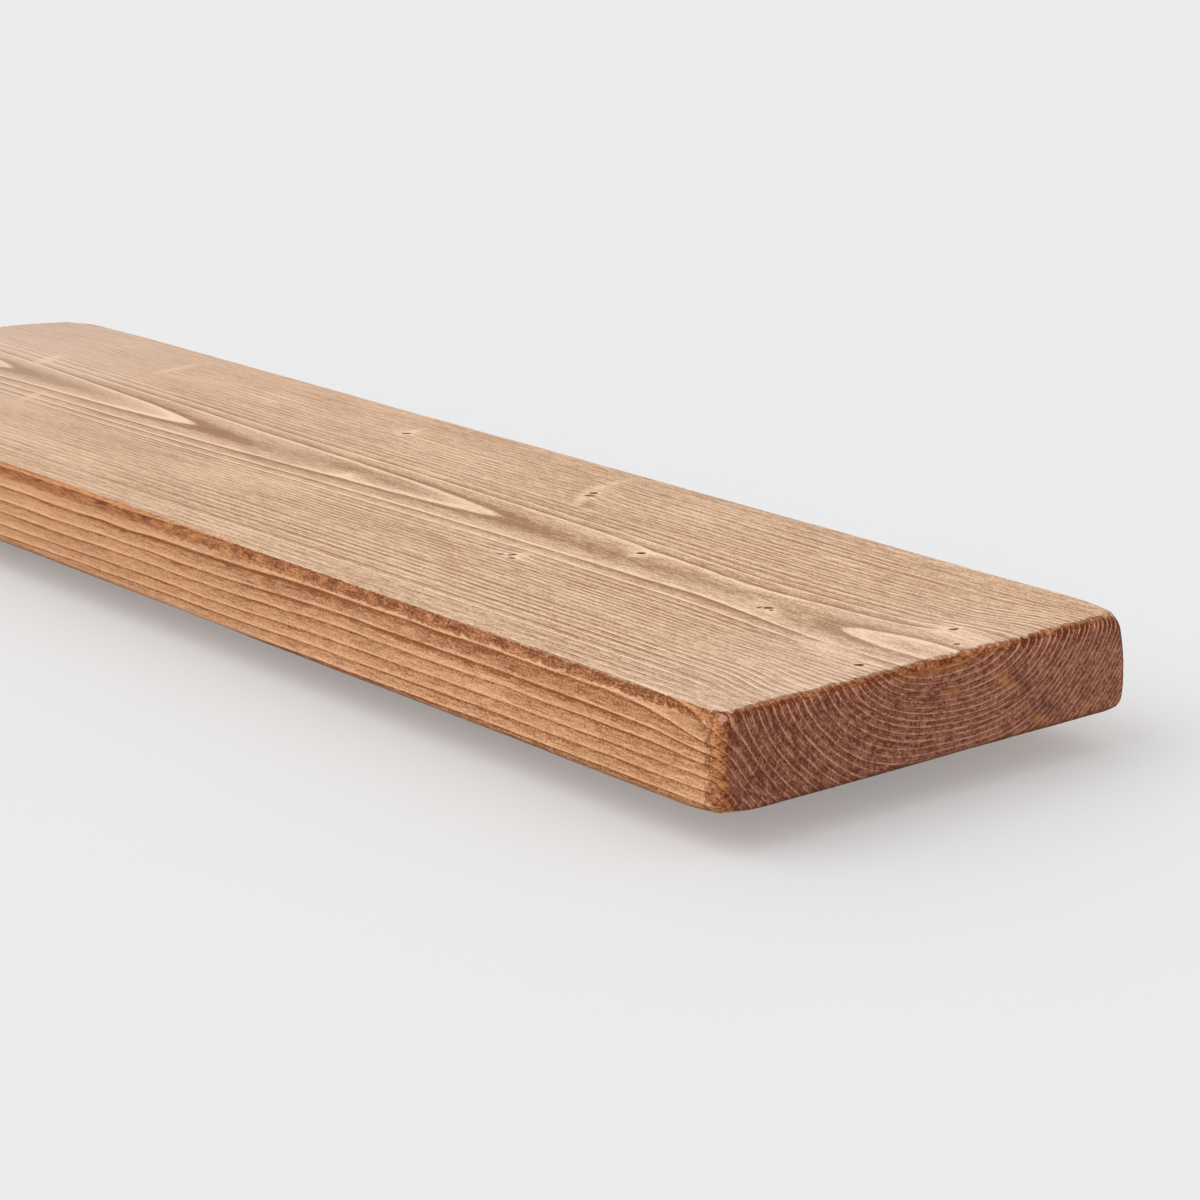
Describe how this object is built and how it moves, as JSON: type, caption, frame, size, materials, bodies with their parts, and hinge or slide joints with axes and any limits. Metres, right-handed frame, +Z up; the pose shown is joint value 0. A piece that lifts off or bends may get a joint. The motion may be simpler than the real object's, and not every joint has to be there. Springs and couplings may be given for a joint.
{
  "type": "floating wall shelf",
  "caption": "Thick stained softwood plank shelf that slides onto steel rods hidden in it; the rods' plates sit in recesses in its back edge and are screwed and plugged to the wall.",
  "frame": {"origin": "on the wall's face, at the middle of the board's length and thickness, which is the middle rod's axis", "axes": "+X along the wall to the right as seen from the room, +Y into the wall, +Z up; the board reaches out along -Y"},
  "size_m": [0.9, 0.2912, 0.044],
  "materials": {
    "stained_softwood": "brushed and stained medium brown, matt",
    "bracket_steel": "hot-rolled flat, bright zinc plated",
    "rod_steel": "drawn bar, plain",
    "weld_steel": "weld as laid",
    "zinc_plate": "yellow-tinged zinc",
    "grey_nylon": "moulded nylon"
  },
  "bodies": {
    "wall_brackets": {"bracket_plate_left": "bracket_steel", "support_rod_left": "rod_steel", "rod_weld_left": "weld_steel", "wall_screw_left_1": "zinc_plate", "wall_plug_left_1": "grey_nylon", "wall_screw_left_2": "zinc_plate", "wall_plug_left_2": "grey_nylon", "bracket_plate_middle": "bracket_steel", "support_rod_middle": "rod_steel", "rod_weld_middle": "weld_steel", "wall_screw_middle_1": "zinc_plate", "wall_plug_middle_1": "grey_nylon", "wall_screw_middle_2": "zinc_plate", "wall_plug_middle_2": "grey_nylon", "bracket_plate_right": "bracket_steel", "support_rod_right": "rod_steel", "rod_weld_right": "weld_steel", "wall_screw_right_1": "zinc_plate", "wall_plug_right_1": "grey_nylon", "wall_screw_right_2": "zinc_plate", "wall_plug_right_2": "grey_nylon"},
    "board": {"shelf_board": "stained_softwood"}
  },
  "joints": [
    {"name": "board_slide", "type": "slide", "parent": "wall_brackets", "child": "board", "axis": [0, -1, 0], "range_m": [0, 0.15]}
  ]
}
